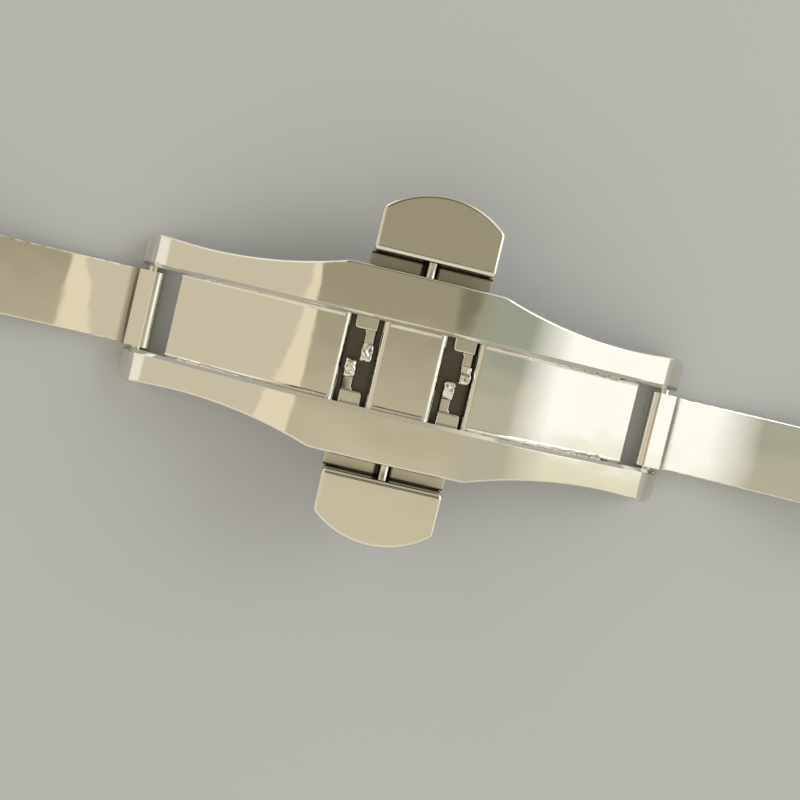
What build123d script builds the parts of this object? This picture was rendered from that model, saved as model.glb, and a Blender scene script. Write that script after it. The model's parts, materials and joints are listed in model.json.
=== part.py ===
from build123d import *
import os
from math import atan2, acos, degrees, sqrt

os.makedirs("parts", exist_ok=True)

# Butterfly clasp with two push buttons, lying open. X runs along the clasp, Y along the buttons.
# The origin is on the surface that it lies on, under the middle. Depths are measured down from
# the highest line of the rails, which is the apex.

# Overall sizes
hinge_span = 40.78          # between the two hinge pins
arch_radius = 36.0          # outer faces of the rails
tip_radius = 1.0            # full round of the rail tips, about the hinge pins
center_thickness = 3.5      # apex to the wrist side
bracelet_width = 16.0       # clear between the two caps
button_span = 25.84         # over both caps
overrun = 2.0               # how far a cutting shape passes what it cuts
hair = 0.001                # for telling one corner from another

# Fits
slide_gap = 0.05            # around the catch slides
running_gap = 0.02          # on radius, hinge pins and spring bar tips
seat_gap = 0.02             # between a stop and what it stops

# Center frame
cap_gap = 1.07              # between the rails and the caps
shoulder_x = 5.8            # where the full width ends
shoulder_radius = 1.5
waist_x = 15.4              # where the rails are narrowest
waist_step = 1.48           # how much narrower they are there, on each side
nose_flat = 0.03            # trimmed off the round tips
nose_corner_radius = 1.1
nose_inner_radius = 0.5     # beside the arms
edge_radius = 0.2           # polished outer edges
channel_half_width = 3.2
channel_depth = 1.2
channel_corner_radius = 0.3
channel_chamfer = 0.28
floor_end_gap = 2.44        # between the channel floor and the hinge pins
slot_corner_radius = 0.3
window_length = 2.386
window_edge_radius = 0.5

# Catch slides, one for each button
slide_half_width = 4.56
slide_top_depth = 2.0
slide_thickness = 0.8
slide_inner_y = 3.25        # where the plate ends and the fingers start
travel = 0.7                # press of a button
slide_float = 0.1           # both slides lie this far to +X in their guide
guide_clearance = 0.11      # left beside a slide after its float
finger_width = 0.82
lane_gap = 0.1              # between fingers that pass each other
base_end_y = 2.27           # a finger is wide down to here
base_inset = 1.71           # from a slide's side to the inner end of its wide base
notch_radius = 0.3
neck_step = 0.4             # the fingers' necks are this much thinner
tongue_inset = 1.16         # from a slide's side; the tongue enters the cap
tongue_length = 1.5

# Catch noses
nose_length = 1.36
nose_stem_length = 0.9
nose_height = 0.9           # above the neck
nose_lip_height = 0.4       # underside of the lip, above the neck
nose_lip_edge = 0.16
nose_ramp_start_y = 0.75
nose_tip_bevel = 0.18

# Caps
cap_inset = 0.06            # from a slide's side
cap_arc_rise = 1.72         # from the ends of the straight sides to the outermost point
cap_side_radius = 0.6
cap_inner_radius = 0.35
cap_height = 3.4
cap_bevel = 0.25
cap_foot_radius = 0.3

# Return springs and guide rods
rod_radius = 0.425
rod_inner_y = 1.2
rod_seat_length = 0.8       # pressed into the cap
rod_end_chamfer = 0.1
rod_slot_half_width = 0.5
spring_radius = 0.6         # middle of the wire
spring_wire_radius = 0.1
spring_turns = 6
spring_end_inset = 1.33     # from the rails' outer faces
spring_groove_gap = 0.1     # around a spring

# Bottom cover and its screws
cover_overlap = 2.23        # past the guide, for the screws
cover_gap = 0.02
cover_depth = 2.85
web_half_length = 0.4       # wall between the two springs
web_half_width = 0.8
screw_offset = 1.08         # from the guide's side
screw_inset = 1.93          # from the rails' outer faces
screw_radius = 0.4
screw_head_radius = 0.7
screw_head_height = 0.4
screw_head_depth = 3.35     # seat of the heads
screw_reach_depth = 1.5
screw_slot_width = 0.2
screw_slot_depth = 0.15

# Stop pins
stop_inset = 2.16           # from a slide's side
stop_y = 4.7
stop_radius = 0.3
stop_reach_depth = 1.2

# Hinge pins
pin_radius = 0.4
pin_end_reach = 0.35        # past the waist's half width
pin_end_chamfer = 0.1

# Arms, drawn folded into the channel
arm_half_width = 2.93
arm_thickness = 1.0
arm_floor_gap = 0.1
arm_edge_radius = 0.12
arm_end_x = 0.95
arm_float = -0.1            # the arms lie this far to -Y between the ears
arm_lift = 0.02             # open arms clear the surface by this
knuckle_length = 0.85       # from the pin to the cove
knuckle_end_length = 1.05   # from the pin to the rounded end
knuckle_half_height = 0.8
knuckle_end_radius = 0.75
cove_radius = 0.6
tube_x = 1.6
tube_rise = 0.9             # tube's middle above the apex
tube_radius = 1.15
saddle_x = 2.65             # where the block under the tube ends

# Arm hooks
hook_inner_inset = 1.81     # from a slide's side
hook_outer_inset = 0.26
hook_half_width = 1.6
hook_stem_in = 0.5          # stem beside the outer finger
hook_stem_out = 0.45        # stem beside the inner finger
hook_bar_setback = 0.15     # of one bar's free end from the plug's inner side
hook_bar_y = 1.05
hook_bar_width = 0.35
hook_bar_top_depth = 2.05
hook_bar_height = 0.3

# Spring bars in the arms' ends
bar_half_length = 2.9
bar_radius = 0.75
bar_bore_radius = 0.58
bar_end_wall = 0.3
bar_neck_radius = 0.45      # at the flange, tapered to the tip
bar_neck_reach = 0.05       # the necks stand out by this
bar_tip_radius = 0.4
bar_tip_reach = 1.0
bar_tip_chamfer = 0.1
bar_flange_radius = 0.56
bar_flange_length = 0.35
bar_fit = 0.05              # on radius, between a bar and its tube
bar_spring_radius = 0.38
bar_spring_wire_radius = 0.07
bar_spring_turns = 8

# Sizes worked out from the ones above
hinge_x = hinge_span / 2
floor_half_length = hinge_x - floor_end_gap
cap_inner_y = bracelet_width / 2
cap_outer_y = button_span / 2
cap_side_y = cap_outer_y - cap_arc_rise
rail_half_width = cap_inner_y - cap_gap
waist_half_width = rail_half_width - waist_step
pin_half_length = waist_half_width + pin_end_reach
base_inner_x = slide_half_width - base_inset
tongue_half_width = slide_half_width - tongue_inset
cap_half_width = slide_half_width - cap_inset
stop_x = slide_half_width - stop_inset
hook_inner_x = slide_half_width - hook_inner_inset
hook_outer_x = slide_half_width - hook_outer_inset
guide_half_width = slide_half_width + slide_float + guide_clearance
cover_half_length = guide_half_width + cover_overlap
screw_x = guide_half_width + screw_offset
screw_y = rail_half_width - screw_inset
spring_shoulder_y = rail_half_width - spring_end_inset
tip_end_x = hinge_x + tip_radius
pin_drop = arch_radius - sqrt((arch_radius - tip_radius) ** 2 - hinge_x ** 2)
pin_z = tip_radius
apex = pin_drop + tip_radius
arch_z = apex - arch_radius
belly_drop = pin_drop - center_thickness
belly_radius = (hinge_x ** 2 + belly_drop ** 2 - tip_radius ** 2) / (2 * (tip_radius + belly_drop))
belly_z = apex - center_thickness - belly_radius
floor_radius = arch_radius - channel_depth
slide_top_z = apex - slide_top_depth
slide_bottom_z = slide_top_z - slide_thickness
slide_mid_z = slide_top_z - slide_thickness / 2
guide_top_z = slide_top_z + slide_gap
cover_z = apex - cover_depth
neck_z = slide_top_z - neck_step
groove_radius = spring_radius + spring_wire_radius + spring_groove_gap
groove_half_length = spring_shoulder_y + spring_groove_gap


# Shapes that more than one piece needs
def arch_height(x, radius):
    """Height over x of a circle about the arch's middle."""
    return arch_z + sqrt(radius ** 2 - x ** 2)


def blank():
    """The whole arch before anything is cut from it."""
    top_share = arch_radius / (arch_radius - tip_radius)
    belly_share = belly_radius / (belly_radius + tip_radius)
    top_x, top_z = hinge_x * top_share, arch_z + (pin_z - arch_z) * top_share
    low_x, low_z = hinge_x * belly_share, belly_z + (pin_z - belly_z) * belly_share
    waist_radius = ((waist_x - shoulder_x) ** 2 + waist_step ** 2) / (2 * waist_step)
    nose_x = tip_end_x - nose_flat
    nose_half_width = waist_half_width + waist_radius - sqrt(waist_radius ** 2 - (nose_x - waist_x) ** 2)
    with BuildPart() as arch:
        with BuildSketch(Plane.XZ):
            with BuildLine():
                ThreePointArc((-top_x, top_z), (0, apex), (top_x, top_z))
                ThreePointArc((top_x, top_z), (tip_end_x, pin_z), (low_x, low_z))
                ThreePointArc((low_x, low_z), (0, apex - center_thickness), (-low_x, low_z))
                ThreePointArc((-low_x, low_z), (-tip_end_x, pin_z), (-top_x, top_z))
            make_face()
        extrude(amount=rail_half_width + overrun, both=True)
        with BuildSketch(Plane.XY.offset(-overrun)) as plan:
            with BuildLine():
                Line((0, rail_half_width), (shoulder_x, rail_half_width))
                ThreePointArc(
                    (shoulder_x, rail_half_width),
                    (waist_x, waist_half_width),
                    (nose_x, nose_half_width),
                )
                Line((nose_x, nose_half_width), (nose_x, 0))
                mirror(about=Plane.YZ)
                mirror(about=Plane.XZ)
            make_face()
            shoulders = plan.vertices().filter_by(lambda v: abs(abs(v.X) - shoulder_x) < hair)
            fillet(shoulders, shoulder_radius)
            noses = plan.vertices().filter_by(lambda v: abs(v.X) > waist_x)
            fillet(noses, nose_corner_radius)
        extrude(amount=apex + 2 * overrun, mode=Mode.INTERSECT)
        outer_face = arch.faces().sort_by(Axis.Z)[-1]
        fillet(outer_face.edges().filter_by(Axis.Y, reverse=True), edge_radius)
    return arch.part


def coil(radius, wire_radius, turns, start_y, end_y, axis_z):
    """A round wire wound about an axis along Y, in half turns that meet smoothly."""
    half_turns = 2 * turns
    step = (end_y - start_y) / half_turns
    with BuildPart() as wound:
        with BuildLine() as wire:
            for i in range(half_turns):
                side = 1 if i % 2 == 0 else -1
                y = start_y + i * step
                reach = sqrt(radius ** 2 + (step / 2) ** 2)
                ThreePointArc(
                    (side * radius, y, axis_z),
                    (0, y + step / 2, axis_z + side * reach),
                    (-side * radius, y + step, axis_z),
                )
        with BuildSketch(Plane(origin=wire.line @ 0, z_dir=wire.line % 0)):
            Circle(wire_radius)
        sweep()
    return wound.part


def write(piece, name):
    piece.part.label = name
    export_step(piece.part, f"parts/{name}.step")


# Center frame
with BuildPart() as center_frame:
    add(blank())
    # The channel for the folded arms is turned about the arch's own axis
    channel_floor_z = apex - channel_depth
    channel_mouth = channel_half_width + channel_chamfer + overrun
    with BuildSketch(Plane.YZ) as channel:
        with BuildLine():
            Polyline(
                (-channel_half_width, channel_floor_z),
                (channel_half_width, channel_floor_z),
                (channel_half_width, apex - channel_chamfer),
                (channel_mouth, apex + overrun),
                (-channel_mouth, apex + overrun),
                (-channel_half_width, apex - channel_chamfer),
                close=True,
            )
        make_face()
        fillet(channel.vertices().group_by(Axis.Y)[0], channel_corner_radius)
    revolve(
        axis=Axis((0, 0, arch_z), (0, 1, 0)),
        revolution_arc=360,
        mode=Mode.SUBTRACT,
    )
    # Open ends where the arms turn
    with BuildSketch(Plane.XY.offset(-overrun)):
        slot_length = tip_end_x - floor_half_length + overrun
        with Locations(*[(side * (floor_half_length + slot_length / 2), 0) for side in (-1, 1)]):
            RectangleRounded(slot_length, 2 * channel_half_width, slot_corner_radius)
    extrude(amount=apex + 2 * overrun, mode=Mode.SUBTRACT)
    with BuildSketch(Plane.XY.offset(-overrun)):
        end_x = tip_end_x + overrun - slot_corner_radius
        with Locations(*[(side * end_x, 0) for side in (-1, 1)]):
            Rectangle(2 * overrun, 2 * channel_half_width)
    extrude(amount=apex + 2 * overrun, mode=Mode.SUBTRACT)
    # The tips are rounded beside the arms too
    with BuildSketch(Plane.XY.offset(-overrun)):
        nose_x = tip_end_x - nose_flat
        with GridLocations(2 * nose_x, 2 * channel_half_width, 2, 2):
            Rectangle(2 * nose_inner_radius, 2 * nose_inner_radius)
        round_y = channel_half_width + nose_inner_radius
        with GridLocations(2 * (nose_x - nose_inner_radius), 2 * round_y, 2, 2):
            Circle(nose_inner_radius, mode=Mode.SUBTRACT)
    extrude(amount=apex + 2 * overrun, mode=Mode.SUBTRACT)
    # Windows, with rounded edges at the floor
    for side in (-1, 1):
        far_x = guide_half_width
        near_x = far_x - window_length
        r = window_edge_radius
        near_z = arch_height(near_x - r, floor_radius)
        far_z = arch_height(far_x + r, floor_radius)
        with BuildSketch(Plane.XZ):
            with BuildLine():
                Line((side * near_x, cover_z), (side * near_x, near_z - r))
                RadiusArc((side * near_x, near_z - r), (side * (near_x - r), near_z), -side * r)
                Line((side * (near_x - r), near_z), (side * (near_x - r), apex))
                Line((side * (near_x - r), apex), (side * (far_x + r), apex))
                Line((side * (far_x + r), apex), (side * (far_x + r), far_z))
                RadiusArc((side * (far_x + r), far_z), (side * far_x, far_z - r), -side * r)
                Line((side * far_x, far_z - r), (side * far_x, cover_z))
                Line((side * far_x, cover_z), (side * near_x, cover_z))
            make_face()
        extrude(amount=channel_half_width, both=True, mode=Mode.SUBTRACT)
    # Guide for the two slides, open at both sides, and the seat of the bottom cover
    with BuildSketch(Plane.XZ):
        with Locations((0, (guide_top_z + cover_z) / 2)):
            Rectangle(2 * guide_half_width, guide_top_z - cover_z)
        with Locations((0, cover_z / 2)):
            Rectangle(2 * cover_half_length, cover_z)
    extrude(amount=rail_half_width + overrun, both=True, mode=Mode.SUBTRACT)
    # Upper half of the spring tunnel
    with Locations(Location((0, 0, slide_mid_z), (90, 0, 0))):
        Cylinder(groove_radius, 2 * groove_half_length, mode=Mode.SUBTRACT)
    # Blind holes for the screws and the stop pins, above the cover's seat
    with BuildSketch(Plane.XY.offset(cover_z)):
        with GridLocations(2 * screw_x, 2 * screw_y, 2, 2):
            Circle(screw_radius)
    extrude(amount=cover_depth - screw_reach_depth, mode=Mode.SUBTRACT)
    with BuildSketch(Plane.XY.offset(cover_z)):
        with GridLocations(2 * stop_x, 2 * stop_y, 2, 2):
            Circle(stop_radius)
    extrude(amount=cover_depth - stop_reach_depth, mode=Mode.SUBTRACT)
    # Hinge pin holes
    for side in (-1, 1):
        with Locations(Location((side * hinge_x, 0, pin_z), (90, 0, 0))):
            Cylinder(pin_radius, 2 * (rail_half_width + overrun), mode=Mode.SUBTRACT)
write(center_frame, "center_frame")

# Bottom cover, which closes the slides' guide and parts the two springs
with BuildPart() as bottom_cover:
    add(blank())
    with BuildSketch(Plane.XZ):
        with Locations((0, cover_z / 2)):
            Rectangle(2 * (cover_half_length - cover_gap), cover_z)
    extrude(amount=rail_half_width + overrun, both=True, mode=Mode.INTERSECT)
    with Locations(Location((0, 0, slide_mid_z), (90, 0, 0))):
        Cylinder(groove_radius, 2 * groove_half_length, mode=Mode.SUBTRACT)
    with BuildSketch(Plane.XY.offset(cover_z - groove_radius)):
        Rectangle(2 * web_half_width, 2 * web_half_length)
    extrude(amount=groove_radius + guide_top_z - cover_z - slide_gap)
    with BuildSketch(Plane.XY):
        with GridLocations(2 * screw_x, 2 * screw_y, 2, 2):
            Circle(screw_radius)
    extrude(amount=apex, mode=Mode.SUBTRACT)
    with BuildSketch(Plane.XY):
        with GridLocations(2 * screw_x, 2 * screw_y, 2, 2):
            Circle(screw_head_radius)
    extrude(amount=apex - screw_head_depth, mode=Mode.SUBTRACT)
write(bottom_cover, "bottom_cover")

# Cover screws with slotted heads
with BuildPart() as cover_screws:
    head_z = apex - screw_head_depth
    with BuildSketch(Plane.XY.offset(head_z - screw_head_height)):
        with GridLocations(2 * screw_x, 2 * screw_y, 2, 2):
            Circle(screw_head_radius)
    extrude(amount=screw_head_height)
    with BuildSketch(Plane.XY.offset(head_z - screw_head_height)):
        with GridLocations(2 * screw_x, 2 * screw_y, 2, 2):
            Circle(screw_radius)
    extrude(amount=screw_head_height + screw_head_depth - screw_reach_depth)
    with BuildSketch(Plane.XY.offset(head_z - screw_head_height)):
        with GridLocations(2 * screw_x, 2 * screw_y, 2, 2):
            Rectangle(2 * screw_head_radius, screw_slot_width, rotation=45)
    extrude(amount=screw_slot_depth, mode=Mode.SUBTRACT)
write(cover_screws, "cover_screws")

# Stop pins, pressed into the frame, which keep the slides from coming out
with BuildPart() as stop_pins:
    with BuildSketch(Plane.XY.offset(cover_z)):
        with GridLocations(2 * stop_x, 2 * stop_y, 2, 2):
            Circle(stop_radius)
    extrude(amount=cover_depth - stop_reach_depth)
write(stop_pins, "stop_pins")

# Hinge pins, pressed into the rails' tips
for name, side in (("hinge_pin_left", -1), ("hinge_pin_right", 1)):
    with BuildPart() as hinge_pin:
        with Locations(Location((side * hinge_x, 0, pin_z), (90, 0, 0))):
            Cylinder(pin_radius, 2 * pin_half_length)
        chamfer(hinge_pin.edges().filter_by(GeomType.CIRCLE), pin_end_chamfer)
    write(hinge_pin, name)

# Pieces of the rear button, drawn on the middle line. The front button has the same pieces,
# turned half round.

# Catch slide: a plate with two fingers that reach into the windows
lane_x = slide_half_width - finger_width
inner_lane_x = lane_x - lane_gap - finger_width
with BuildPart() as slide:
    with BuildSketch(Plane.XY.offset(slide_bottom_z)) as plate:
        with BuildLine():
            Polyline(
                (-slide_half_width, cap_inner_y),
                (-slide_half_width, base_end_y),
                (-lane_x + lane_gap, base_end_y),
                (-lane_x + lane_gap, 0),
                (-inner_lane_x, 0),
                (-inner_lane_x, slide_inner_y),
                (base_inner_x, slide_inner_y),
                (base_inner_x, base_end_y),
                (lane_x, base_end_y),
                (lane_x, 0),
                (slide_half_width, 0),
                (slide_half_width, cap_inner_y),
                close=True,
            )
        make_face()
        fillet(plate.vertices().filter_by(lambda v: abs(v.Y - base_end_y) < hair), notch_radius)
        with Locations((0, cap_inner_y + tongue_length / 2)):
            Rectangle(2 * tongue_half_width, tongue_length)
        spring_slot = spring_shoulder_y - slide_inner_y
        with Locations((0, slide_inner_y + spring_slot / 2)):
            Rectangle(2 * groove_radius, spring_slot, mode=Mode.SUBTRACT)
        rod_slot = cap_inner_y + rod_seat_length - spring_shoulder_y
        with Locations((0, spring_shoulder_y + rod_slot / 2)):
            Rectangle(2 * rod_slot_half_width, rod_slot, mode=Mode.SUBTRACT)
        stop_slot = travel + 2 * seat_gap
        stop_slot_width = 2 * (stop_radius + slide_gap + slide_float)
        with Locations((-stop_x, stop_y + travel / 2), (stop_x, stop_y + travel / 2)):
            SlotCenterToCenter(stop_slot, stop_slot_width, rotation=90, mode=Mode.SUBTRACT)
    extrude(amount=slide_thickness)
    with BuildSketch(Plane.XY.offset(neck_z)):
        with Locations((0, base_end_y / 2)):
            Rectangle(2 * slide_half_width + overrun, base_end_y)
    extrude(amount=neck_step, mode=Mode.SUBTRACT)

# Catch noses: hooked blocks on the fingers' ends, ramped towards the arms
with BuildPart() as noses:
    for x in (-inner_lane_x - finger_width, lane_x):
        with BuildSketch(Plane.YZ.offset(x)):
            with BuildLine():
                Polyline(
                    (0, neck_z),
                    (0, neck_z + nose_height - nose_tip_bevel),
                    (nose_tip_bevel, neck_z + nose_height),
                    (nose_ramp_start_y, neck_z + nose_height),
                    (nose_length, neck_z + nose_lip_height + nose_lip_edge),
                    (nose_length, neck_z + nose_lip_height),
                    (nose_stem_length, neck_z + nose_lip_height),
                    (nose_stem_length, neck_z),
                    close=True,
                )
            make_face()
        extrude(amount=finger_width)

# Guide rod, pressed into the cap
with BuildPart() as rod:
    rod_length = cap_inner_y + rod_seat_length - rod_inner_y
    with Locations(Location((0, rod_inner_y + rod_length / 2, slide_mid_z), (90, 0, 0))):
        Cylinder(rod_radius, rod_length)
    chamfer(rod.edges().filter_by(GeomType.CIRCLE), rod_end_chamfer)

# Cap: flat on top, round outside, with the seats of the slide's tongue and of the rod
with BuildPart() as cap:
    with BuildSketch(Plane.XY.offset(apex - cap_height)) as face:
        with BuildLine():
            Polyline(
                (-cap_half_width, cap_side_y),
                (-cap_half_width, cap_inner_y),
                (cap_half_width, cap_inner_y),
                (cap_half_width, cap_side_y),
            )
            ThreePointArc((cap_half_width, cap_side_y), (0, cap_outer_y), (-cap_half_width, cap_side_y))
        make_face()
        fillet(face.vertices().filter_by(lambda v: abs(v.Y - cap_side_y) < hair), cap_side_radius)
        fillet(face.vertices().filter_by(lambda v: abs(v.Y - cap_inner_y) < hair), cap_inner_radius)
    extrude(amount=cap_height)
    chamfer(cap.faces().sort_by(Axis.Z)[-1].edges(), cap_bevel)
    fillet(cap.faces().sort_by(Axis.Z)[0].edges(), cap_foot_radius)
    with BuildSketch(Plane.XY.offset(slide_bottom_z)):
        with Locations((0, cap_inner_y + tongue_length / 2)):
            Rectangle(2 * tongue_half_width, tongue_length)
        with Locations((0, cap_inner_y + rod_seat_length / 2)):
            Rectangle(2 * rod_slot_half_width, rod_seat_length, mode=Mode.SUBTRACT)
    extrude(amount=slide_thickness, mode=Mode.SUBTRACT)
    with Locations(Location((0, cap_inner_y + rod_seat_length / 2, slide_mid_z), (90, 0, 0))):
        Cylinder(rod_radius, rod_seat_length, mode=Mode.SUBTRACT)

# Both buttons, shifted together by their float
for name, turn in (("rear", 0), ("front", 180)):
    place = Pos(slide_float, 0, 0) * Rot(0, 0, turn)
    pieces = {"catch_slide": slide, "catch_noses": noses, "guide_rod": rod, "button_cap": cap}
    for kind, piece in pieces.items():
        with BuildPart() as button_piece:
            with Locations(place):
                add(piece.part)
        write(button_piece, f"{kind}_{name}")
    with BuildPart() as return_spring:
        with Locations(place):
            first_y = web_half_length + spring_wire_radius + seat_gap
            last_y = spring_shoulder_y - spring_wire_radius - seat_gap
            add(coil(spring_radius, spring_wire_radius, spring_turns, first_y, last_y, slide_mid_z))
    write(return_spring, f"return_spring_{name}")

# Pieces of the right arm, drawn folded into the channel. Its bends share the arch's middle.
arm_inner_radius = floor_radius + arm_floor_gap
arm_outer_radius = arm_inner_radius + arm_thickness
arm_mid_radius = (arm_inner_radius + arm_outer_radius) / 2
pin_reach = arch_radius - tip_radius
tube_z = apex + tube_rise
knuckle_plane = Plane(
    origin=(hinge_x, 0, pin_z),
    x_dir=(arch_z - pin_z, 0, hinge_x),
    z_dir=(0, 1, 0),
)

# Arm: a bent strip with a knuckle for the hinge pin and a tube for the spring bar
with BuildPart() as arm:
    with BuildSketch(Plane.YZ):
        with Locations((0, arch_z + arm_mid_radius)):
            RectangleRounded(2 * arm_half_width, arm_thickness, arm_edge_radius)
    revolve(axis=Axis((0, 0, arch_z), (0, 1, 0)), revolution_arc=360)
    with BuildSketch(Plane.XZ):
        with BuildLine():
            Polyline(
                (0, arch_z),
                (2 * arm_end_x, arch_z + 2 * arm_mid_radius),
                (2 * hinge_x, arch_z + 2 * (pin_z - arch_z)),
                close=True,
            )
        make_face()
    extrude(amount=arm_half_width + overrun, both=True, mode=Mode.INTERSECT)
    # Knuckle, with a cove where it meets the strip
    with BuildSketch(knuckle_plane) as knuckle:
        strip_low = arm_inner_radius - pin_reach
        strip_high = arm_outer_radius - pin_reach
        cove_x = knuckle_length + cove_radius
        cove_y = sqrt(arm_inner_radius ** 2 - cove_x ** 2) - pin_reach
        strip_mid = (strip_low + strip_high) / 2
        with BuildLine():
            Polyline(
                (0, strip_mid),
                (0, strip_high),
                (-knuckle_end_length, strip_high),
                (-knuckle_end_length, -knuckle_half_height),
                (knuckle_length, -knuckle_half_height),
                (knuckle_length, cove_y - cove_radius),
            )
            RadiusArc((knuckle_length, cove_y - cove_radius), (cove_x, cove_y), cove_radius)
            Polyline((cove_x, cove_y), (cove_x, strip_mid), (0, strip_mid))
        make_face()
        fillet(knuckle.vertices().group_by(Axis.X)[0], knuckle_end_radius)
    extrude(amount=arm_half_width, both=True)
    # Tube on a block at the free end
    with BuildSketch(Plane.XZ):
        with Locations((tube_x, tube_z)):
            Circle(tube_radius)
        with BuildLine():
            Polyline(
                (arm_end_x, arch_height(arm_end_x, arm_mid_radius)),
                (saddle_x, arch_height(saddle_x, arm_mid_radius)),
                (saddle_x, tube_z - sqrt(tube_radius ** 2 - (saddle_x - tube_x) ** 2)),
                (tube_x, tube_z),
                (arm_end_x, tube_z - sqrt(tube_radius ** 2 - (tube_x - arm_end_x) ** 2)),
                close=True,
            )
        make_face()
    extrude(amount=arm_half_width, both=True)
    # Bores and the seat of the hook
    with Locations(Location((tube_x, 0, tube_z), (90, 0, 0))):
        Cylinder(bar_radius + bar_fit, 2 * (arm_half_width + overrun), mode=Mode.SUBTRACT)
    with Locations(Location((hinge_x, 0, pin_z), (90, 0, 0))):
        Cylinder(pin_radius + running_gap, 2 * (arm_half_width + overrun), mode=Mode.SUBTRACT)
    with BuildSketch(Plane.XY.offset(apex - slide_top_depth)):
        with Locations(((hook_inner_x + hook_outer_x) / 2, 0)):
            Rectangle(hook_outer_x - hook_inner_x, 2 * hook_half_width)
    extrude(amount=slide_top_depth, mode=Mode.SUBTRACT)

# Hook: a plug in the arm with two stems, whose bars catch under the noses of both buttons
with BuildPart() as hook:
    with BuildSketch(Plane.XZ):
        with BuildLine():
            plug_xs = (hook_inner_x, (hook_inner_x + hook_outer_x) / 2, hook_outer_x)
            for radius in (arm_inner_radius, arm_outer_radius):
                ThreePointArc(*[(x, arch_height(x, radius)) for x in plug_xs])
            for x in (hook_inner_x, hook_outer_x):
                Line((x, arch_height(x, arm_inner_radius)), (x, arch_height(x, arm_outer_radius)))
        make_face()
    extrude(amount=hook_half_width, both=True)
    bar_top_z = apex - hook_bar_top_depth
    bar_low_z = bar_top_z - hook_bar_height
    bar_mid_y = hook_bar_y + hook_bar_width / 2
    stems = (
        (hook_inner_x, hook_inner_x + hook_stem_in, bar_mid_y),
        (hook_outer_x - hook_stem_out, hook_outer_x, -bar_mid_y),
    )
    bars = (
        (hook_inner_x, hook_outer_x, bar_mid_y),
        (hook_inner_x + hook_bar_setback, hook_outer_x, -bar_mid_y),
    )
    stem_height = arch_height(hook_outer_x, arm_mid_radius) - bar_low_z
    for rects, height in ((stems, stem_height), (bars, hook_bar_height)):
        with BuildSketch(Plane.XY.offset(bar_low_z)):
            for near_x, far_x, y in rects:
                with Locations(((near_x + far_x) / 2, y)):
                    Rectangle(far_x - near_x, hook_bar_width)
        extrude(amount=height)

# Spring bar: a tube with crimped ends, two flanged tips and the spring between them
bar_place = Location((tube_x, 0, tube_z))
with BuildPart() as bar_tube:
    with Locations(Location((0, 0, 0), (90, 0, 0))):
        Cylinder(bar_radius, 2 * bar_half_length)
        Cylinder(bar_bore_radius, 2 * (bar_half_length - bar_end_wall), mode=Mode.SUBTRACT)
        Cylinder(bar_neck_radius + running_gap, 2 * (bar_half_length + overrun), mode=Mode.SUBTRACT)

flange_end_y = bar_half_length - bar_end_wall - seat_gap
flange_y = flange_end_y - bar_flange_length
tip_end_y = bar_half_length + bar_tip_reach
with BuildPart() as bar_tip:
    with BuildSketch(Plane.XY):
        with BuildLine():
            Polyline(
                (0, flange_y),
                (bar_flange_radius, flange_y),
                (bar_flange_radius, flange_end_y),
                (bar_neck_radius, flange_end_y),
                (bar_tip_radius, bar_half_length + bar_neck_reach),
                (bar_tip_radius, tip_end_y - bar_tip_chamfer),
                (bar_tip_radius - bar_tip_chamfer, tip_end_y),
                (0, tip_end_y),
                close=True,
            )
        make_face()
    revolve(axis=Axis.Y)

# Both arms, unfolded until they lie on the surface, and turned half round for the left one
open_tilt = degrees(acos((arm_outer_radius + arm_lift - pin_z) / pin_reach))
unfold_angle = 180 + open_tilt - degrees(atan2(hinge_x, pin_z - arch_z))
unfold = Pos(hinge_x, 0, pin_z) * Rot(0, unfold_angle, 0) * Pos(-hinge_x, 0, -pin_z)
print("arms unfold by", round(unfold_angle, 3), "degrees")
coil_end = flange_y - bar_spring_wire_radius - seat_gap
bar_spring = coil(bar_spring_radius, bar_spring_wire_radius, bar_spring_turns, -coil_end, coil_end, 0)
turned = Rot(0, 0, 180)
for name, turn in (("right", 0), ("left", 180)):
    place = Pos(0, arm_float, 0) * Rot(0, 0, turn) * unfold
    first, second = ("rear", "front") if name == "right" else ("front", "rear")
    pieces = {
        f"arm_{name}": (arm.part, place),
        f"arm_hook_{name}": (hook.part, place),
        f"spring_bar_tube_{name}": (bar_tube.part, place * bar_place),
        f"spring_bar_spring_{name}": (bar_spring, place * bar_place),
        f"spring_bar_tip_{name}_{first}": (bar_tip.part, place * bar_place),
        f"spring_bar_tip_{name}_{second}": (bar_tip.part, place * bar_place * turned),
    }
    for node, (shape, location) in pieces.items():
        with BuildPart() as arm_piece:
            with Locations(location):
                add(shape)
        write(arm_piece, node)
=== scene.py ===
import json
import math
import bpy
import bmesh
from mathutils import Matrix, Vector, noise


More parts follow.
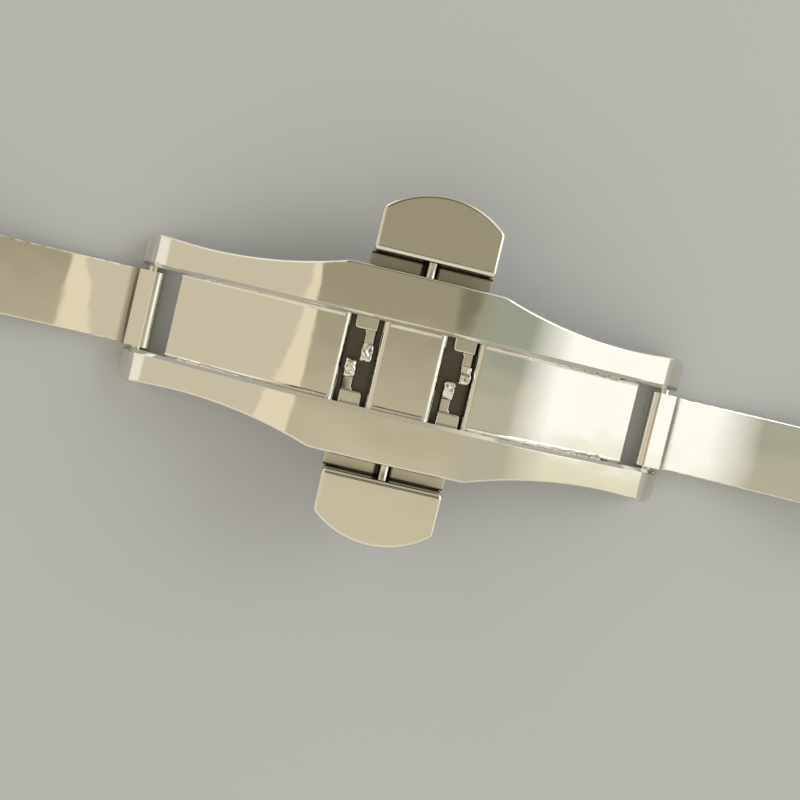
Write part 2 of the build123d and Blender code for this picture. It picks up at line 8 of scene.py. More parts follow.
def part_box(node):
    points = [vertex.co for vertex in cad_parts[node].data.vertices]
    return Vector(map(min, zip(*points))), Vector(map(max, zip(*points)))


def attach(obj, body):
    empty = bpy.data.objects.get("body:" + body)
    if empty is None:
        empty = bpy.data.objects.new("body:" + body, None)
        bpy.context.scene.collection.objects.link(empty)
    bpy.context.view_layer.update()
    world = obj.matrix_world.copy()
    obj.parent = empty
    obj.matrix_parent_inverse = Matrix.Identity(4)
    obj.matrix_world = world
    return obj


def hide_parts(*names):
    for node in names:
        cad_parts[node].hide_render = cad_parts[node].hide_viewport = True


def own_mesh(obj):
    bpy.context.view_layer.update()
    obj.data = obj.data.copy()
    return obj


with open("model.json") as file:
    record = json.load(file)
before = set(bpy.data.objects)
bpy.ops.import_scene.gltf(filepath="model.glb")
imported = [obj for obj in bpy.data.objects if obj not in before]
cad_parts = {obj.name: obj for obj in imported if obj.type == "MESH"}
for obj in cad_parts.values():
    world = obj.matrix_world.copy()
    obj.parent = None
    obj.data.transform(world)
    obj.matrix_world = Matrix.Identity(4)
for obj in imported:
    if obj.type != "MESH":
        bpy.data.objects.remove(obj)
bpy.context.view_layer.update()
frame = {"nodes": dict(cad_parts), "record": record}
print("stage 1: frame loaded,", len(frame["nodes"]), "nodes")

mm = 0.001
nodes = frame["nodes"]
slotOf = {row["node"]: row["material_slot"] for row in frame["record"]["subparts"]}
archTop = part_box("center_frame")[1].z

# Camera, at the photograph's angle: almost straight down, turned a little
cameraSetup = {
    "place": Vector((-4.631, 2.260, 86.056)) * mm,  # from the top of the arch
    "turns": (0.0500, 0.0529, -0.2325),             # about X, then Y, then Z
    "lens": 54.24,
    "sensor": 36.0,
    "clip": (1 * mm, 10.0),
}


def addCamera(setup):
    data = bpy.data.cameras.new("camera")
    data.lens = setup["lens"]
    data.sensor_width = setup["sensor"]
    data.clip_start, data.clip_end = setup["clip"]
    camera = bpy.data.objects.new("camera", data)
    bpy.context.scene.collection.objects.link(camera)
    x, y, z = setup["turns"]
    turn = Matrix.Rotation(z, 3, "Z") @ Matrix.Rotation(y, 3, "Y") @ Matrix.Rotation(x, 3, "X")
    place = setup["place"] + Vector((0, 0, archTop))
    camera.matrix_world = Matrix.Translation(place) @ turn.transposed().to_4x4()
    bpy.context.scene.camera = camera


addCamera(cameraSetup)
print("stage 2: camera placed")


# Material helpers
def newMaterial(name):
    material = bpy.data.materials.new(name)
    material.use_nodes = True
    tree = material.node_tree
    return material, tree, tree.nodes["Principled BSDF"]


def addNode(tree, kind, **values):
    # Each value goes to the setting of that name, or else to the socket
    node = tree.nodes.new(kind)
    for key, value in values.items():
        if hasattr(node, key):
            setattr(node, key, value)
        else:
            node.inputs[key].default_value = value
    return node


def objectPoint(tree, scale):
    # Object coordinates in millimetres, stretched by scale
    coordinates = addNode(tree, "ShaderNodeTexCoord")
    mapping = addNode(tree, "ShaderNodeMapping", Scale=[s / mm for s in scale])
    tree.links.new(coordinates.outputs["Object"], mapping.inputs["Vector"])
    return mapping.outputs["Vector"]


def objectAxes(tree):
    split = addNode(tree, "ShaderNodeSeparateXYZ")
    tree.links.new(objectPoint(tree, (1, 1, 1)), split.inputs["Vector"])
    return split.outputs


def noiseAt(tree, scale, detail, roughness=0.5):
    node = addNode(tree, "ShaderNodeTexNoise", Scale=1.0, Detail=detail, Roughness=roughness)
    tree.links.new(objectPoint(tree, scale), node.inputs["Vector"])
    return node.outputs["Fac"]


def ramp(tree, source, low, high, fromValue, toValue):
    node = addNode(tree, "ShaderNodeMapRange", clamp=True)
    limits = {"From Min": low, "From Max": high, "To Min": fromValue, "To Max": toValue}
    for name, value in limits.items():
        node.inputs[name].default_value = value
    tree.links.new(source, node.inputs["Value"])
    return node.outputs["Result"]


def joinValues(tree, operation, *values):
    node = addNode(tree, "ShaderNodeMath", operation=operation)
    for socket, value in zip(node.inputs, values):
        if isinstance(value, (int, float)):
            socket.default_value = value
        else:
            tree.links.new(value, socket)
    return node.outputs["Value"]


def blendColours(tree, share, first, second):
    # first and second are colours or sockets
    node = addNode(tree, "ShaderNodeMix", data_type="RGBA")
    sockets = (node.inputs["Factor"], node.inputs[6], node.inputs[7])
    for socket, value in zip(sockets, (share, first, second)):
        if isinstance(value, tuple):
            socket.default_value = (*value, 1)
        else:
            tree.links.new(value, socket)
    return node.outputs[2]


def addBump(tree, height, micrometres, before):
    bump = addNode(tree, "ShaderNodeBump", Strength=1.0, Distance=micrometres * 0.001 * mm)
    tree.links.new(height, bump.inputs["Height"])
    tree.links.new(before, bump.inputs["Normal"])
    return bump.outputs["Normal"]


# Finishes. Scratches and waves are patterns per millimetre, and depths are in micrometres: each
# wave is (pattern, depth).
finishes = {
    "polished_steel": {
        "colour": (0.80, 0.78, 0.72), "tint": (0.77, 0.755, 0.69), "roughness": (0.02, 0.07),
        "scratches": (0.4, 14.0, 14.0), "scratchDepth": 0.25,
        "waves": ((0.11, 70.0), (0.45, 6.0), (3.0, 0.25)),
    },
    "cast_steel": {
        "colour": (0.92, 0.91, 0.87), "tint": (0.80, 0.79, 0.74), "roughness": (0.06, 0.18),
        "scratches": (5.0, 5.0, 5.0), "scratchDepth": 3.0, "waves": ((2.2, 45.0),),
    },
    "blanked_steel": {
        "colour": (0.82, 0.80, 0.74), "tint": (0.72, 0.70, 0.64), "roughness": (0.07, 0.18),
        "scratches": (1.5, 9.0, 6.0), "scratchDepth": 0.8, "waves": ((0.9, 4.0),),
    },
    "spring_steel": {
        "colour": (0.62, 0.61, 0.57), "tint": (0.50, 0.49, 0.46), "roughness": (0.2, 0.35),
        "scratches": (20.0, 2.0, 20.0), "scratchDepth": 1.0, "waves": ((2.0, 1.0),),
    },
    "turned_steel": {
        "colour": (0.84, 0.82, 0.76), "tint": (0.76, 0.74, 0.68), "roughness": (0.2, 0.32),
        "scratches": (3.0, 30.0, 3.0), "scratchDepth": 0.6, "waves": ((1.0, 2.0),),
    },
}
# Wear that all finishes share, and how much rougher the steel gets under painted shade. Patterns
# are per millimetre, spans are the part of a noise that counts, and the edge is how much polishing
# eased every sharp edge, in millimetres.
wear = {
    "cloud": (0.12, 0.12, 0.12), "smudge": (0.5, 0.4, 0.5), "smudgeSpan": (0.35, 0.75),
    "scratchSpan": (0.5, 0.75), "scratchShare": 0.5, "paintedShadeRoughness": 0.4, "edge": 0.05,
}
# Painted shade: boxes in millimetres inside which the colour is darkened and the steel made rougher,
# given for both ends and both sides, whose borders are soft for the length of the fade on either
# side. The depth is how much they cover.
# Painted shade down the walls of the windows and into their pockets, nearly black
windowPocketShade = {
    "x": (2.34, 4.84), "y": (-1, 3.3), "z": (5.0, 6.74), "fade": 0.05, "depth": 0.93,
    "colour": (0.030, 0.026, 0.018),
}
# Painted shade on the inside of the bottom cover, seen through the windows
coverInsideShade = {
    "x": (-1, 8.0), "y": (-1, 6.7), "z": (5.66, 7.0), "fade": 0.04, "depth": 0.9,
    "colour": (0.075, 0.068, 0.050),
}
# Painted shade on the slide plates beside the caps, deeper at the rear end than at the front
rearPlateShade = {
    "x": (-1, 9.0), "y": (6.9, 8.3), "z": (5.5, 7.0), "fade": 0.08, "depth": 1.0,
    "colour": (0.42, 0.395, 0.33),
}
frontPlateShade = {**rearPlateShade, "depth": 0.6, "colour": (0.62, 0.585, 0.49)}
# Painted shadow round the guide rod, on the slide plate
rodShadow = {**rearPlateShade, "x": (-1, 0.66), "depth": 0.93, "colour": (0.050, 0.045, 0.036)}
# Painted shade in the corner where the slide plate meets the cap
capCornerShade = {
    "x": (-1, 9.0), "y": (7.84, 8.3), "z": (6.0, 7.0), "fade": 0.06, "depth": 0.9,
    "colour": (0.030, 0.022, 0.012),
}
# Painted shade in the groove at each arm's hinge knuckle, darker on the left arm than on the right
leftCoveShade = {
    "x": (21.15, 22.0), "y": (-1, 4.0), "z": (0.5, 1.62), "fade": 0.15, "depth": 0.85,
    "colour": (0.40, 0.375, 0.31),
}
rightCoveShade = {**leftCoveShade, "x": (21.1, 21.9), "colour": (0.66, 0.645, 0.59)}
# Slopes that polishing left: where each begins, in millimetres from the middle, how steep it
# starts, and how much steeper it gets with each millimetre (flatter, below zero)
leftArmLean = {"from": 20.0, "slope": 0.24, "bend": -0.002}
rightArmLean = {"from": 20.0, "slope": 0.36, "bend": -0.004}
railTips = {"from": 19.0, "slope": 0.0, "bend": 0.11}
wholeHeight = 1000.0  # micrometres, since a slope's height is worked out in millimetres


def between(tree, value, low, high, fade):
    rising = ramp(tree, value, low - fade, low + fade, 0, 1)
    falling = ramp(tree, value, high - fade, high + fade, 1, 0)
    return joinValues(tree, "MULTIPLY", rising, falling)


def insideBox(tree, setup):
    x, y, z = objectAxes(tree)
    share = setup["depth"]
    fromMiddle = {"x": joinValues(tree, "ABSOLUTE", x), "y": joinValues(tree, "ABSOLUTE", y), "z": z}
    for key, value in fromMiddle.items():
        inside = between(tree, value, *setup[key], setup["fade"])
        share = joinValues(tree, "MULTIPLY", inside, share)
    return share


def leanOutwards(tree, setup):
    # Height in millimetres, falling to both sides
    away = joinValues(tree, "ABSOLUTE", objectAxes(tree)["X"])
    away = joinValues(tree, "MAXIMUM", joinValues(tree, "SUBTRACT", away, setup["from"]), 0)
    steepness = joinValues(tree, "MULTIPLY_ADD", away, -setup["bend"] / 2, -setup["slope"])
    return joinValues(tree, "MULTIPLY", away, steepness)


def steel(name, look, paintedShade=(), lean=None):
    material, tree, shader = newMaterial(name)
    shader.inputs["Metallic"].default_value = 1.0
    cloud = noiseAt(tree, wear["cloud"], detail=4.0)
    colour = blendColours(tree, cloud, look["colour"], look["tint"])
    scratches = noiseAt(tree, look["scratches"], detail=6.0, roughness=0.7)
    smudge = noiseAt(tree, wear["smudge"], detail=5.0, roughness=0.6)
    smooth, dull = look["roughness"]
    base = ramp(tree, smudge, *wear["smudgeSpan"], smooth, dull)
    fine = ramp(tree, scratches, *wear["scratchSpan"], 0.0, (dull - smooth) * wear["scratchShare"])
    rough = joinValues(tree, "ADD", base, fine)
    # Painted shade: each box blends the colour towards its dark colour and adds roughness
    for place in paintedShade:
        share = insideBox(tree, place)
        colour = blendColours(tree, share, colour, place["colour"])
        rougher = joinValues(tree, "MULTIPLY", share, wear["paintedShadeRoughness"])
        rough = joinValues(tree, "ADD", rough, rougher)
    tree.links.new(colour, shader.inputs["Base Color"])
    tree.links.new(rough, shader.inputs["Roughness"])
    edges = addNode(tree, "ShaderNodeBevel", samples=4, Radius=wear["edge"] * mm)
    normal = edges.outputs["Normal"]
    if lean:
        normal = addBump(tree, leanOutwards(tree, lean), wholeHeight, normal)
    for size, depth in look["waves"]:
        normal = addBump(tree, noiseAt(tree, (size,) * 3, detail=2.0), depth, normal)
    normal = addBump(tree, scratches, look["scratchDepth"], normal)
    tree.links.new(normal, shader.inputs["Normal"])
    return material


materials = {name: steel("scene_" + name, look) for name, look in finishes.items()}
polished, blanked = finishes["polished_steel"], finishes["blanked_steel"]
ownSteel = {
    "center_frame": steel("scene_frame_steel", polished, [windowPocketShade], railTips),
    "bottom_cover": steel("scene_cover_steel", polished, [coverInsideShade]),
    "arm_left": steel("scene_left_arm_steel", polished, [leftCoveShade], leftArmLean),
    "arm_right": steel("scene_right_arm_steel", polished, [rightCoveShade], rightArmLean),
}
for end, plateShade in (("front", frontPlateShade), ("rear", rearPlateShade)):
    paintedShade = [plateShade, rodShadow, capCornerShade]
    ownSteel["catch_slide_" + end] = steel(f"scene_{end}_slide_steel", blanked, paintedShade)


def finishOf(node):
    return ownSteel.get(node, materials[slotOf[node]])


for name, node in nodes.items():
    for slot in node.material_slots:
        slot.material = finishOf(name)
print("stage 3: materials made")

# Modelling helpers. Points closer than merged become one, and places within near are the same.
merged, near = 0.0005 * mm, 0.01 * mm
sharpAngle = 35  # degrees, past which an edge is rounded


def addPiece(name, shape, body, node, smoothAngle=40):
    # One mesh object that stands for a CAD node and rides on its body
    bmesh.ops.remove_doubles(shape, verts=shape.verts, dist=merged)
    bmesh.ops.recalc_face_normals(shape, faces=shape.faces)
    for face in shape.faces:
        face.smooth = True
    mesh = bpy.data.meshes.new(name)
    shape.to_mesh(mesh)
    shape.free()
    mesh.set_sharp_from_angle(angle=math.radians(smoothAngle))
    mesh.materials.append(finishOf(node))
    piece = bpy.data.objects.new(name, mesh)
    bpy.context.scene.collection.objects.link(piece)
    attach(piece, body)
    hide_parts(node)
    return piece


def bevelEdges(shape, edges, width, segments, slide=False):
    bmesh.ops.bevel(
        shape, geom=edges, offset=width * mm, segments=segments, profile=0.5,
        affect="EDGES", material=-1, loop_slide=slide,
    )


def roundEdges(shape, setup):
    # Only edges that stick out: an inner corner stays crisp
    limit = math.radians(sharpAngle)
    edges = [e for e in shape.edges if e.is_convex and e.calc_face_angle(0) > limit]
    bevelEdges(shape, edges, setup["edge"], setup["edgeSteps"], slide=True)


def flattenFaces(piece):
    # Large faces shade flat up to their rounded edges
    piece.modifiers.new("flat faces", "WEIGHTED_NORMAL").keep_sharp = True


def copyOf(node):
    # The CAD shape as whole faces instead of loose triangles
    shape = bmesh.new()
    shape.from_mesh(nodes[node].data)
    bmesh.ops.remove_doubles(shape, verts=shape.verts, dist=2 * merged)
    flat = math.radians(0.5)
    bmesh.ops.dissolve_limit(shape, angle_limit=flat, verts=shape.verts, edges=shape.edges)
    return shape


def addRoundedCopy(name, body, node, setup):
    shape = copyOf(node)
    roundEdges(shape, setup)
    flattenFaces(addPiece(name, shape, body, node))


def lathe(outline, middle, steps=48):
    # Turns (radius, distance) points, in millimetres, about a line along Y through middle
    shape = bmesh.new()
    points = [shape.verts.new((radius * mm, along * mm, 0)) for radius, along in outline]
    edges = [shape.edges.new(pair) for pair in zip(points, points[1:])]
    bmesh.ops.spin(
        shape, geom=points + edges, cent=(0, 0, 0), axis=(0, 1, 0), dvec=(0, 0, 0),
        angle=2 * math.pi, steps=steps, use_merge=True,
    )
    bmesh.ops.remove_doubles(shape, verts=shape.verts, dist=merged)
    bmesh.ops.translate(shape, verts=shape.verts, vec=middle)
    return shape


def domedEnd(radius, end, dome, edge, steps=4):
    # Half an outline from the rim to the middle of a slightly domed end, end being its distance
    side = 1 if end > 0 else -1
    angles = [math.pi / 2 * i / steps for i in range(steps + 1)]
    rim = [(radius - edge * (1 - math.cos(a)), end - side * (edge + dome) + side * edge * math.sin(a))
           for a in angles]
    return rim + [((radius - edge) * 0.5, end - side * dome * 0.25), (0, end)]


def boxOf(node):
    low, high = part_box(node)
    return Vector(low), Vector(high), (Vector(low) + Vector(high)) / 2


def addPin(name, body, node, setup):
    # A bar along Y with domed ends
    low, high, middle = boxOf(node)
    radius, half = (high.x - low.x) / 2 / mm, (high.y - low.y) / 2 / mm
    front, rear = (domedEnd(radius, end, setup["dome"], setup["edge"]) for end in (-half, half))
    addPiece(name, lathe(front[::-1] + rear, middle), body, node)


# Button caps: flat top, arched outside, all rims rounded
capSetup = {
    "arcRise": 1.72, "outerCorner": 0.6, "innerCorner": 0.32, "topRim": 0.36, "footRim": 0.3,
    "rimSteps": 5, "arcSteps": 48, "cornerSteps": 8,
}


def addCap(end, turn, setup):
    low, high, middle = boxOf("button_cap_" + end)
    halfWidth = (high.x - low.x) / 2
    innerY, outerY = sorted((abs(low.y), abs(high.y)))
    rise, corner = setup["arcRise"] * mm, setup["outerCorner"] * mm
    arcRadius = (halfWidth ** 2 + rise ** 2) / (2 * rise)
    arcY = outerY - arcRadius
    cornerX = halfWidth - corner
    cornerY = arcY + math.sqrt((arcRadius - corner) ** 2 - cornerX ** 2)
    sweep = math.atan2(cornerY - arcY, cornerX)
    shape = bmesh.new()
    last = [shape.verts.new((halfWidth, innerY, high.z))]

    def onward(found):
        last[0] = [v for v in found if isinstance(v, bmesh.types.BMVert)][-1]

    def straight(x, y):
        onward(bmesh.ops.extrude_vert_indiv(shape, verts=last)["verts"])
        last[0].co = (x, y, high.z)

    def arc(x, y, angle, steps):
        onward(bmesh.ops.spin(
            shape, geom=last, cent=(x, y, high.z), axis=(0, 0, 1), dvec=(0, 0, 0),
            angle=angle, steps=steps,
        )["geom_last"])

    straight(halfWidth, cornerY)
    arc(cornerX, cornerY, sweep, setup["cornerSteps"])
    arc(0, arcY, math.pi - 2 * sweep, setup["arcSteps"])
    arc(-cornerX, cornerY, sweep, setup["cornerSteps"])
    straight(-halfWidth, innerY)
    bmesh.ops.contextual_create(shape, geom=shape.verts[:])
    raised = bmesh.ops.extrude_face_region(shape, geom=shape.faces[:], use_keep_orig=True)
    foot = [v for v in raised["geom"] if isinstance(v, bmesh.types.BMVert)]
    bmesh.ops.translate(shape, verts=foot, vec=(0, 0, low.z - high.z))
    innerCorners = [e for e in shape.edges
                    if all(abs(v.co.y - innerY) < near for v in e.verts)
                    and abs(e.verts[0].co.x - e.verts[1].co.x) < near]
    bevelEdges(shape, innerCorners, setup["innerCorner"], setup["cornerSteps"])
    for height, rim in ((high.z, setup["topRim"]), (low.z, setup["footRim"])):
        edges = [e for e in shape.edges if all(abs(v.co.z - height) < near for v in e.verts)]
        bevelEdges(shape, edges, rim, setup["rimSteps"])
    place = Matrix.Translation((middle.x, 0, 0)) @ Matrix.Rotation(turn, 4, "Z")
    bmesh.ops.transform(shape, matrix=place, verts=shape.verts)
    flattenFaces(addPiece("cap_" + end, shape, "button_" + end, "button_cap_" + end))


# Catch slides and their noses, rods and springs
slideSetup = {
    "edge": 0.14, "edgeSteps": 3, "middle": 0.1, "slot": 0.5, "closedSlot": 0.43,
    "slotStart": 5.55,
}
noseSetup = {
    "cuts": 4, "grain": 0.09, "wear": 10, "lumps": ((0.42, 0.10), (0.20, 0.025)), "lip": 0.44,
}
rodSetup = {"edge": 0.12, "dome": 0.05}
returnSpringSetup = {"turns": 6, "closedTurns": 1, "wire": 0.1, "wireSteps": 10, "turnSteps": 32}


def addSlide(end, setup):
    shape = copyOf("catch_slide_" + end)
    # The slot closes round the rod, so that nothing shows through
    for vert in shape.verts:
        offset = vert.co.x / mm - setup["middle"]
        onSlot = abs(abs(offset) - setup["slot"]) * mm < near
        if onSlot and abs(vert.co.y) > setup["slotStart"] * mm:
            vert.co.x = (setup["middle"] + math.copysign(setup["closedSlot"], offset)) * mm
    roundEdges(shape, setup)
    flattenFaces(addPiece("slide_" + end, shape, "button_" + end, "catch_slide_" + end))


def addNoses(end, setup):
    shape = copyOf("catch_noses_" + end)
    bmesh.ops.triangulate(shape, faces=shape.faces[:])
    for _ in range(setup["cuts"]):
        longEdges = [e for e in shape.edges if e.calc_length() > setup["grain"] * mm]
        bmesh.ops.subdivide_edges(shape, edges=longEdges, cuts=1, use_grid_fill=True)
        bmesh.ops.triangulate(shape, faces=shape.faces[:])
    for _ in range(setup["wear"]):
        bmesh.ops.smooth_vert(
            shape, verts=shape.verts, factor=0.5, use_axis_x=True, use_axis_y=True, use_axis_z=True,
        )
    shape.normal_update()
    low, high = boxOf("catch_noses_" + end)[:2]
    for vert in shape.verts:
        # No lumps under the lip, where the hooks pass, and full ones from half way above it
        rise = (vert.co.z - low.z) / (high.z - low.z)
        share = min(max((rise - setup["lip"]) / (1 - setup["lip"]) * 2, 0), 1)
        lump = sum(noise.noise(vert.co / (size * mm)) * depth for size, depth in setup["lumps"])
        vert.co += vert.normal * lump * share * mm
    addPiece("noses_" + end, shape, "button_" + end, "catch_noses_" + end, 60)


def coil(low, high, setup):
    # A wire wound about Y that fills the box, with its end turns closed
    middle = (low + high) / 2
    wire = setup["wire"] * mm
    radius = (high.x - low.x) / 2 - wire
    shape = bmesh.new()
    bmesh.ops.create_circle(shape, cap_ends=True, segments=setup["wireSteps"], radius=wire)
    bmesh.ops.translate(shape, verts=shape.verts, vec=(radius, 0, 0))
    length = high.y - low.y - 2 * wire
    closedTurns, steps = setup["closedTurns"], setup["turnSteps"]
    openTurns = setup["turns"] - 2 * closedTurns
    closed = 2.1 * wire * closedTurns  # these turns lie against each other
    last = shape.verts[:] + shape.edges[:] + shape.faces[:]
    for turns, run in ((closedTurns, closed), (openTurns, length - 2 * closed), (closedTurns, closed)):
        last = bmesh.ops.spin(
            shape, geom=last, cent=(0, 0, 0), axis=(0, 1, 0), dvec=(0, run / (turns * steps), 0),
            angle=2 * math.pi * turns, steps=turns * steps,
        )["geom_last"]
    bmesh.ops.translate(shape, verts=shape.verts, vec=(middle.x, low.y + wire, middle.z))
    return shape


def addReturnSpring(end, setup):
    low, high, middle = boxOf("return_spring_" + end)
    piece = addPiece("spring_" + end, coil(low, high, setup), "frame", "return_spring_" + end)
    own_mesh(piece)


for end, turn in (("rear", 0), ("front", math.pi)):
    addCap(end, turn, capSetup)
    addSlide(end, slideSetup)
    addNoses(end, noseSetup)
    addPin("rod_" + end, "button_" + end, "guide_rod_" + end, rodSetup)
    addReturnSpring(end, returnSpringSetup)
print("stage 4: buttons made")

# Hinge pins, spring bars, screws and hooks
pinSetup = {"edge": 0.12, "dome": 0.06}
barSetup = {
    "wall": 0.17, "mouth": 0.46, "mouthEdge": (0.03, 0.06), "mouthDepth": 0.3, "boreStart": 0.45,
    "crimp": 0.18, "crimpDrop": 0.04, "edge": 0.08,
}
tipSetup = {
    "flange": 0.56, "flangeLength": 0.35, "neck": 0.45, "tip": 0.4, "reach": 1.0,
    "ease": 0.05, "edge": 0.12,
}
barSpringSetup = {
    "turns": 4, "closedTurns": 1, "wire": 0.07, "wireSteps": 8, "turnSteps": 28, "keep": 0.59,
}
screwSetup = {"edge": 0.06, "edgeSteps": 2}
hookSetup = {"edge": 0.08, "edgeSteps": 3}


def addBarTube(side, setup):
    low, high, middle = boxOf("spring_bar_tube_" + side)
    outer, half = (high.x - low.x) / 2 / mm, (high.y - low.y) / 2 / mm
    inner = outer - setup["wall"]
    mouth, crimp, edge = setup["mouth"], setup["crimp"], setup["edge"]
    wider, deeper = setup["mouthEdge"]
    # From the straight wall over the crimped rim into the bore
    profile = (
        (outer, half - 2.2 * crimp), (outer - setup["crimpDrop"], half - crimp),
        (outer - edge, half - 0.3 * edge), (outer - 1.6 * edge, half), (mouth + wider, half),
        (mouth, half - deeper), (mouth, half - setup["mouthDepth"]), (inner, half - setup["boreStart"]),
    )
    outline = []
    for end in (-1, 1):
        outline += [(radius, end * along) for radius, along in profile][::end]
    outline.append(outline[0])
    shape = lathe(outline, middle)
    addPiece("bar_tube_" + side, shape, "arm_" + side, "spring_bar_tube_" + side, 30)


def addBarTip(side, end, setup):
    node = f"spring_bar_tip_{side}_{end}"
    low, high, middle = boxOf(node)
    way = 1 if end == "rear" else -1
    length = (high.y - low.y) / mm
    flange, thick, ease, tip = (setup[key] for key in ("flange", "flangeLength", "ease", "tip"))
    outline = [
        (0, 0), (flange - ease, 0), (flange, ease), (flange, thick - ease), (flange - ease, thick),
        (setup["neck"], thick), (tip, length - setup["reach"] + ease),
    ]
    outline += domedEnd(tip, length, ease, setup["edge"])
    outline = [(radius, way * along) for radius, along in outline]
    foot = Vector((middle.x, low.y if way > 0 else high.y, middle.z))
    addPiece(f"bar_tip_{side}_{end}_piece", lathe(outline, foot), f"bar_tip_{side}_{end}", node)


def addBarSpring(side, setup):
    # Two halves, since each tip presses its own end
    node = "spring_bar_spring_" + side
    low, high, middle = boxOf(node)
    halves = {
        "front": (low, Vector((high.x, middle.y, high.z))),
        "rear": (Vector((low.x, middle.y, low.z)), high),
    }
    for end, box in halves.items():
        half = addPiece(f"bar_spring_{side}_{end}", coil(*box, setup), "arm_" + side, node)
        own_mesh(half)


for side in ("left", "right"):
    addPin("pin_" + side, "frame", "hinge_pin_" + side, pinSetup)
    addBarTube(side, barSetup)
    addBarSpring(side, barSpringSetup)
    addRoundedCopy("hook_" + side, "arm_" + side, "arm_hook_" + side, hookSetup)
    for end in ("front", "rear"):
        addBarTip(side, end, tipSetup)
addRoundedCopy("screws", "frame", "cover_screws", screwSetup)
print("stage 5: pins, screws, hooks and spring bars made")

# Floor, lamp and the room that the polished steel mirrors
floorSetup = {"size": 1.6, "colour": (0.60, 0.63, 0.68), "roughness": 0.9, "gap": 0.01}
lampSetup = {
    "toward": (0.80, 0.40, 0.52), "away": 0.5, "size": (0.30, 0.24),
    "colour": (1.0, 0.99, 0.97), "radiance": 1.8,
}
# Fades and ends are spans of the direction's X or Y, which run from -1 to 1
roomSetup = {
    "wall": (0.72, 0.655, 0.51),            # on the left
    "wallFoot": (1.02, 0.98, 0.86),         # lit foot of the wall
    "wallFootTop": (-0.980, -0.968),
    "strip": (0.95, 0.845, 0.64),           # lit edge between wall and ceiling
    "stripStart": (-0.509, -0.501),
    "stripSlant": 0.9,
    "stripEnd": (-0.439, -0.431),
    "ceilingDark": (0.40, 0.365, 0.255),
    "ceilingLight": (0.71, 0.64, 0.485),    # towards the front
    "ceilingFade": (0.03, -0.13),
    "shade": (0.24, 0.225, 0.165),          # something dark that hangs overhead
    "shadePlace": (0.27, 0.055),
    "shadeSize": (0.05, 0.035),
    "shadeFade": (0.4, 2.2),                # in shade sizes, squared
    "rightWall": (0.40, 0.43, 0.35),
    "rightWallLow": (0.58, 0.548, 0.433),   # towards the front
    "rightLowFade": (0.01, -0.03),
    "rightFade": (0.30, 0.42),
    "windowWall": (1.27, 1.265, 1.22),
    "windowWallFront": (0.95, 0.91, 0.72),
    "windowFrontFade": (-0.04, -0.07),
    "windowFade": (0.58, 0.74),
    "front": (0.86, 0.82, 0.72),            # low down
    "frontFade": (-0.35, -0.75),
    "rear": (0.55, 0.50, 0.40),             # low down
    "rearFade": (0.35, 0.75),
    "rearRight": (1.1, 1.08, 1.0),
    "rearLeft": (1.30, 1.27, 1.16),
    "rearLeftEnd": (-0.52, -0.42),
    "dusk": (0.12, 0.105, 0.07),            # behind, above the low side
    "duskPlace": (0.28, 0.66),
    "duskFade": 0.08,
    "duskEnd": (0.15, 0.40),                # it ends towards the right
}


def addFloor(setup):
    shape = bmesh.new()
    bmesh.ops.create_grid(shape, x_segments=1, y_segments=1, size=setup["size"])
    bmesh.ops.translate(shape, verts=shape.verts, vec=(0, 0, -setup["gap"] * mm))
    mesh = bpy.data.meshes.new("floor")
    shape.to_mesh(mesh)
    shape.free()
    floor = bpy.data.objects.new("floor", mesh)
    bpy.context.scene.collection.objects.link(floor)
    material, tree, shader = newMaterial("floor")
    shader.inputs["Base Color"].default_value = (*setup["colour"], 1)
    shader.inputs["Roughness"].default_value = setup["roughness"]
    mesh.materials.append(material)


def addLamp(name, setup):
    data = bpy.data.lights.new(name, "AREA")
    data.shape = "RECTANGLE"
    data.size, data.size_y = setup["size"]
    data.color = setup["colour"]
    data.energy = setup["radiance"] * math.pi * data.size * data.size_y
    lamp = bpy.data.objects.new(name, data)
    bpy.context.scene.collection.objects.link(lamp)
    toward = Vector(setup["toward"]).normalized()
    facing = toward.to_track_quat("Z", "Y").to_matrix().to_4x4()
    lamp.matrix_world = Matrix.Translation(toward * setup["away"]) @ facing


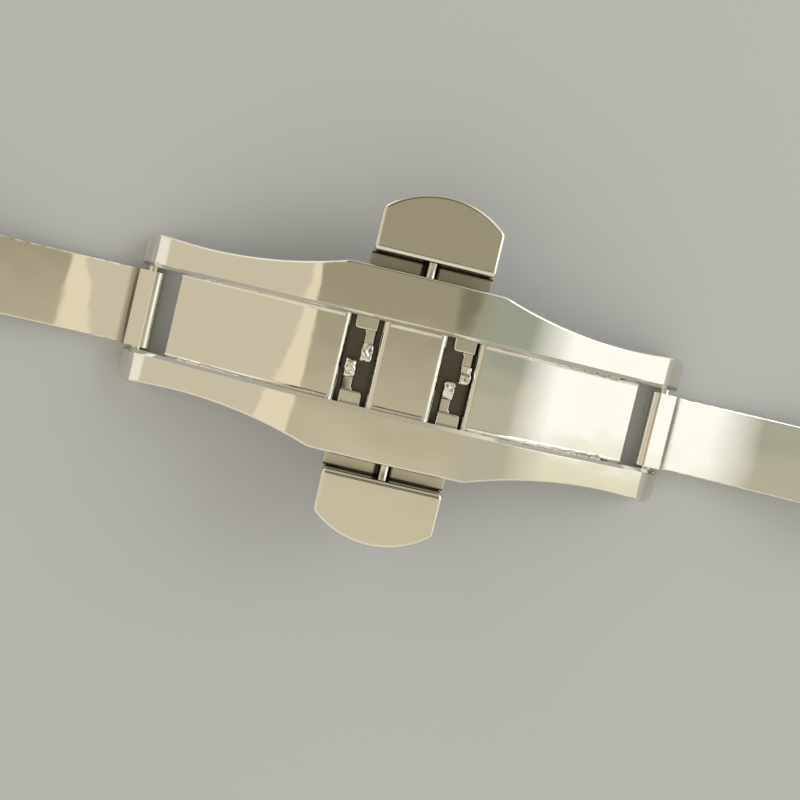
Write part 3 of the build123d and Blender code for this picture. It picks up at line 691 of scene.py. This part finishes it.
def addRoom(setup):
    world = bpy.data.worlds.new("room")
    world.use_nodes = True
    bpy.context.scene.world = world
    tree = world.node_tree
    coordinates = addNode(tree, "ShaderNodeTexCoord")
    split = addNode(tree, "ShaderNodeSeparateXYZ")
    tree.links.new(coordinates.outputs["Generated"], split.inputs["Vector"])
    x, y = split.outputs[:2]

    def along(way, span, before, after):
        # Blends before into after over the span. Both are names of colours, or sockets.
        first, second = (setup[c] if isinstance(c, str) else c for c in (before, after))
        return blendColours(tree, ramp(tree, way, *setup[span], 0, 1), first, second)

    slanted = joinValues(tree, "ADD", joinValues(tree, "MULTIPLY", y, -setup["stripSlant"]), x)
    left = along(slanted, "stripStart", "wall", "strip")
    left = along(x, "wallFootTop", "wallFoot", left)
    room = along(x, "stripEnd", left, along(y, "ceilingFade", "ceilingDark", "ceilingLight"))
    squares = []
    for way, place, size in zip((x, y), setup["shadePlace"], setup["shadeSize"]):
        away = joinValues(tree, "DIVIDE", joinValues(tree, "SUBTRACT", way, place), size)
        squares.append(joinValues(tree, "POWER", away, 2))
    room = along(joinValues(tree, "ADD", *squares), "shadeFade", "shade", room)
    rightWall = along(y, "rightLowFade", "rightWall", "rightWallLow")
    room = along(x, "rightFade", room, rightWall)
    windowWall = along(y, "windowFrontFade", "windowWall", "windowWallFront")
    room = along(x, "windowFade", room, windowWall)
    room = along(y, "frontFade", room, "front")
    rear = along(x, "rearLeftEnd", "rearLeft", along(x, "duskEnd", "rear", "rearRight"))
    room = along(y, "rearFade", room, rear)
    dusk = between(tree, y, *setup["duskPlace"], setup["duskFade"])
    dusk = joinValues(tree, "MULTIPLY", dusk, ramp(tree, x, *setup["duskEnd"], 1, 0))
    dusk = joinValues(tree, "MULTIPLY", dusk, ramp(tree, x, *setup["rearLeftEnd"], 0, 1))
    room = blendColours(tree, dusk, room, setup["dusk"])
    tree.links.new(room, tree.nodes["Background"].inputs["Color"])


addFloor(floorSetup)
addLamp("window", lampSetup)
addRoom(roomSetup)
bpy.context.scene.view_settings.view_transform = "Standard"
print("stage 6: floor, lamp and room placed")
